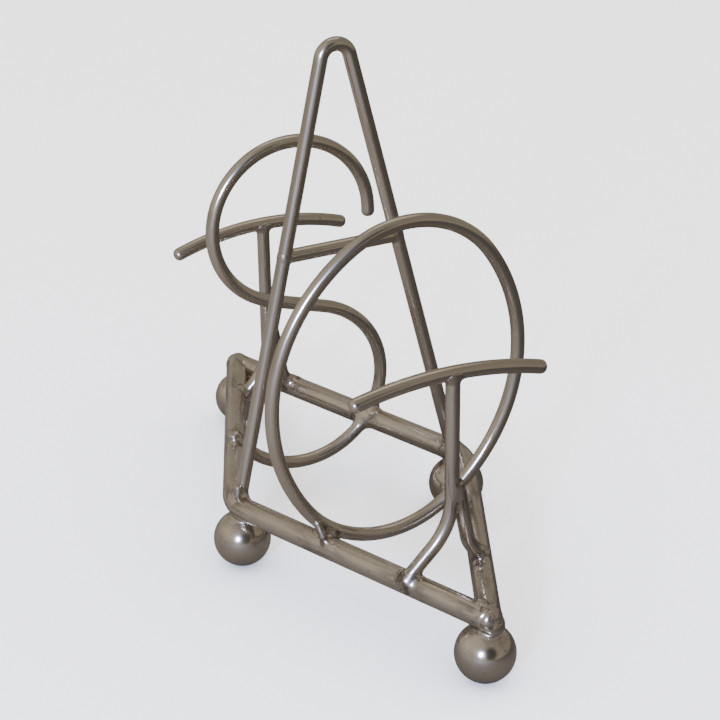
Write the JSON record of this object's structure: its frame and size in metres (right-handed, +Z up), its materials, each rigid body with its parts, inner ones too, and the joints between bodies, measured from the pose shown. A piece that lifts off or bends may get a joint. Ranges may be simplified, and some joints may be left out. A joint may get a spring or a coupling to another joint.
{
  "type": "wire slice rack",
  "caption": "Plated wire rack on ball feet: bent wire dividers stand across a diamond base rod, with slots between them for slices of toast.",
  "frame": {"origin": "on the ground under the middle of the base, where the ball feet stand", "axes": "+Z up; +Y along the long diagonal of the base from the front divider to the back one; +X to the right, along the dividers"},
  "size_m": [0.0836, 0.1752, 0.1476],
  "materials": {
    "plated_wire": "satin nickel plate on steel wire",
    "plated_rod": "satin nickel plate on steel rod",
    "plated_ball": "satin nickel plate, brighter on the balls"
  },
  "bodies": {
    "root": {"frame": "plated_rod", "foot_front": "plated_ball", "foot_back": "plated_ball", "foot_left": "plated_ball", "foot_right": "plated_ball", "front_bar": "plated_wire", "front_stem": "plated_wire", "front_leg": "plated_wire", "ring": "plated_wire", "peak": "plated_wire", "peak_bar": "plated_wire", "curl": "plated_wire", "back_bar": "plated_wire", "back_stem": "plated_wire", "back_leg": "plated_wire"}
  },
  "joints": []
}
